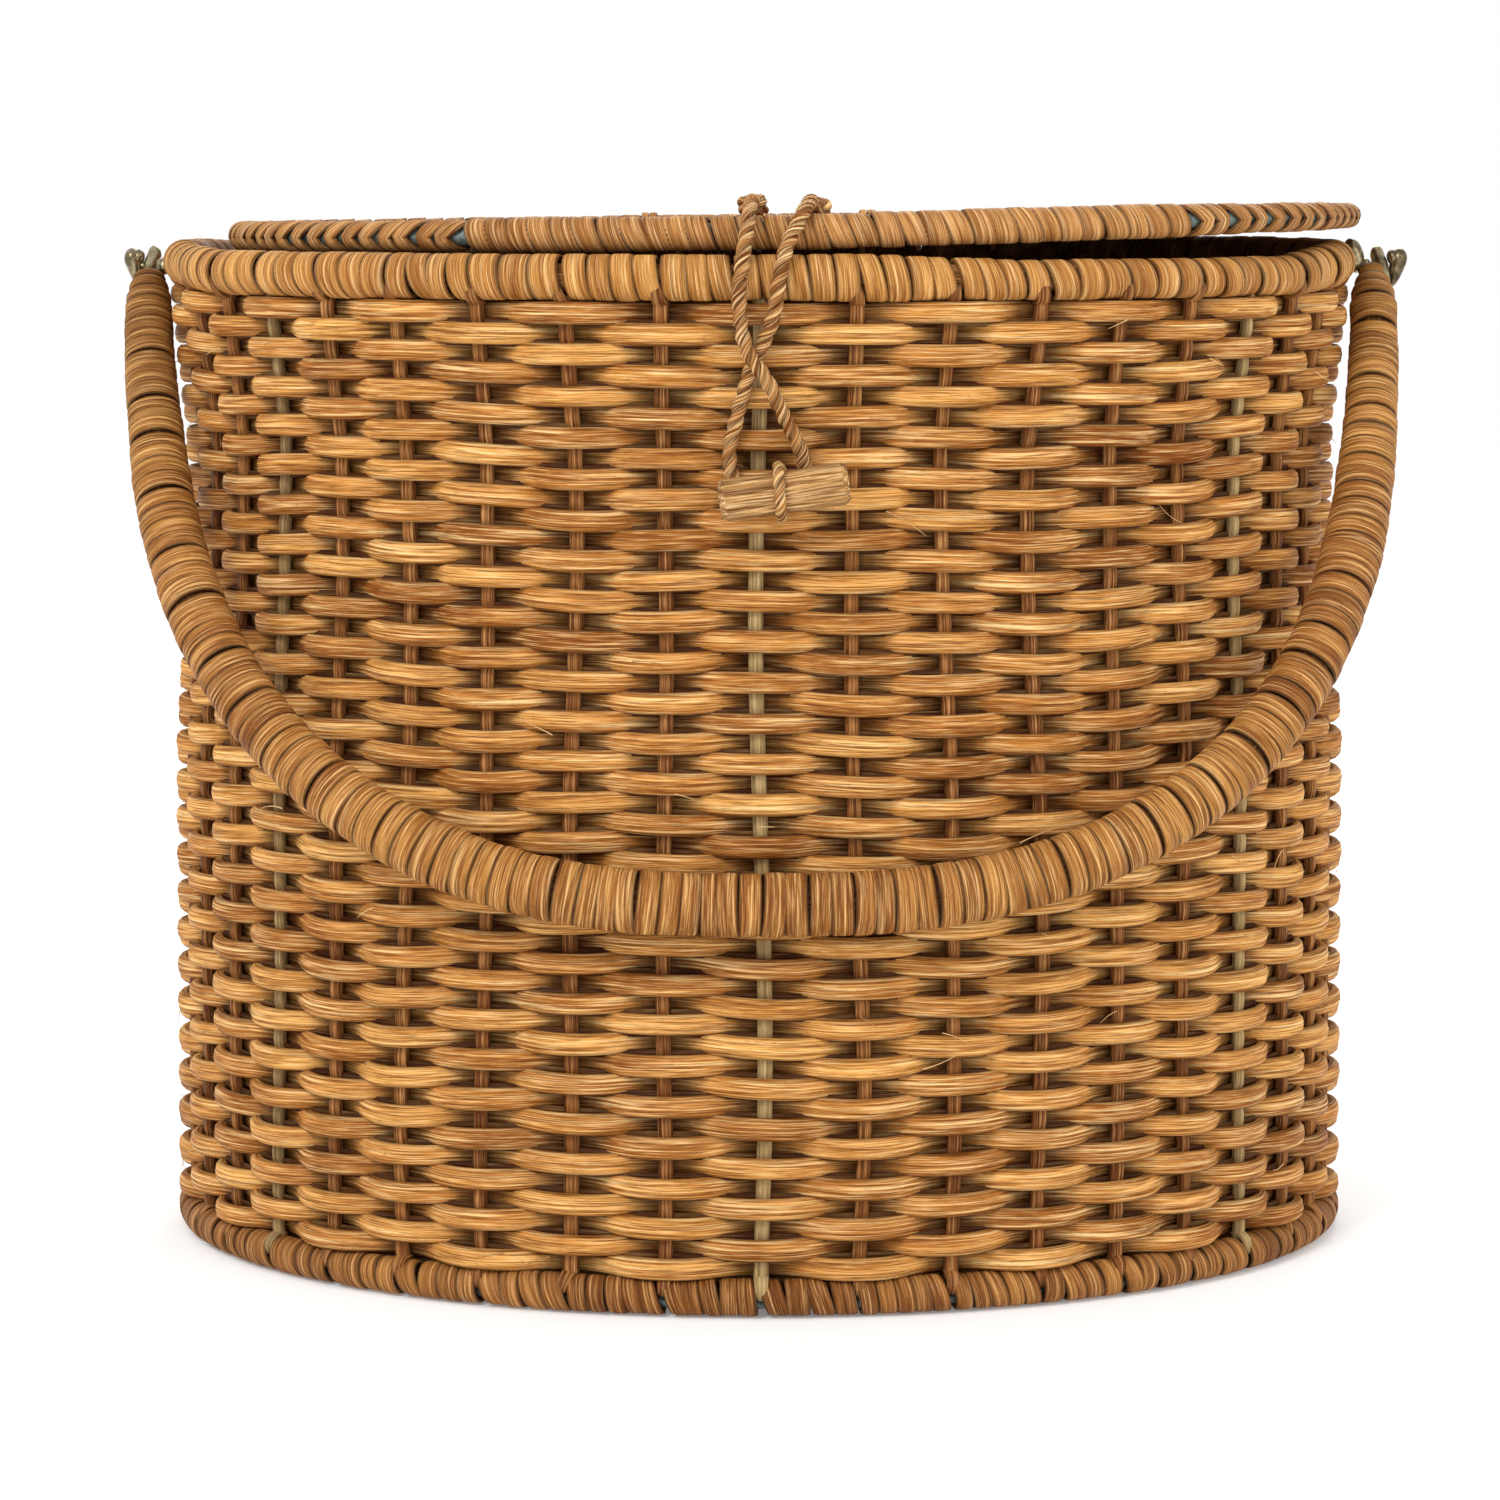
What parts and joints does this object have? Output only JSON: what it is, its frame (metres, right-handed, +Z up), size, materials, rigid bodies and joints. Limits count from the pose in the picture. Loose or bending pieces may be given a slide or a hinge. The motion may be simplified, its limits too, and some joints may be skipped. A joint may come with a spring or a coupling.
{
  "type": "sewing basket",
  "caption": "Oval wicker sewing basket with a flat hinged lid, a bound hoop handle that swings on metal pins, and a toggle and cord-loop closure.",
  "frame": {"origin": "centre of the oval on the underside of the base", "axes": "+Z up, +X along the long axis to the right-hand handle pivot, -Y towards the toggle on the front"},
  "size_m": [0.3908, 0.2848, 0.3171],
  "materials": {
    "rattan_weave": "satin",
    "rattan_stake": "satin",
    "cane_binding": "satin",
    "bound_wire": "matte",
    "steel_wire": "dull",
    "aged_brass": "aged",
    "plant_fibre_cord": "matte",
    "twig": "rough"
  },
  "bodies": {
    "basket": {"base_weave": "rattan_weave", "base_rim_wrap": "cane_binding", "base_hoop": "steel_wire", "wall_weave": "rattan_weave", "rim_wrap": "cane_binding", "rim_hoop": "steel_wire", "pivot_pin_left": "aged_brass", "pivot_pin_right": "aged_brass", "stake_01": "rattan_stake", "stake_02": "rattan_stake", "stake_03": "rattan_stake", "stake_04": "rattan_stake", "stake_05": "rattan_stake", "stake_07": "rattan_stake", "stake_08": "rattan_stake", "stake_09": "rattan_stake", "stake_10": "rattan_stake", "stake_11": "rattan_stake", "stake_12": "rattan_stake", "stake_13": "rattan_stake", "stake_15": "rattan_stake", "stake_16": "rattan_stake", "stake_17": "rattan_stake", "stake_18": "rattan_stake", "stake_19": "rattan_stake", "stake_21": "rattan_stake", "stake_22": "rattan_stake", "stake_23": "rattan_stake", "stake_24": "rattan_stake", "stake_25": "rattan_stake", "stake_27": "rattan_stake", "stake_28": "rattan_stake", "stake_29": "rattan_stake", "stake_30": "rattan_stake", "stake_31": "rattan_stake", "stake_32": "rattan_stake", "stake_33": "rattan_stake", "stake_35": "rattan_stake", "stake_36": "rattan_stake", "stake_37": "rattan_stake", "stake_38": "rattan_stake", "stake_39": "rattan_stake", "frame_wire_1": "bound_wire", "frame_wire_2": "bound_wire", "frame_wire_3": "bound_wire", "frame_wire_4": "bound_wire", "frame_wire_5": "bound_wire", "frame_wire_6": "bound_wire"},
    "lid": {"lid_weave": "rattan_weave", "lid_rim_wrap": "cane_binding", "lid_hoop": "steel_wire", "hinge_loop_left": "cane_binding", "hinge_loop_right": "cane_binding"},
    "closure": {"closure_loop": "plant_fibre_cord"},
    "handle": {"handle_wrap": "cane_binding", "handle_core": "rattan_stake", "handle_fork_left": "aged_brass", "handle_fork_right": "aged_brass"},
    "toggle": {"toggle": "twig", "toggle_tie": "plant_fibre_cord"}
  },
  "joints": [
    {"name": "lid_hinge", "type": "hinge", "parent": "basket", "child": "lid", "pos_m": [0, 0.1246, 0.2944], "axis": [-1, 0, 0], "range_deg": [0, 105], "deforming": ["closure_loop"]},
    {"name": "loop_swing", "type": "hinge", "parent": "lid", "child": "closure", "pos_m": [0, -0.119, 0.3074], "axis": [-1, 0, 0], "range_deg": [-90, 0]},
    {"name": "handle_swing", "type": "hinge", "parent": "basket", "child": "handle", "pos_m": [0, 0, 0.295], "axis": [-1, 0, 0], "range_deg": [0, 281.8]},
    {"name": "toggle_turn", "type": "hinge", "parent": "basket", "child": "toggle", "pos_m": [0.00541, -0.1406, 0.23743], "axis": [0, -1, 0], "range_deg": [-90, 90]}
  ],
  "couplings": [
    {"joint": "loop_swing", "follows": "lid_hinge", "ratio": -0.857}
  ]
}
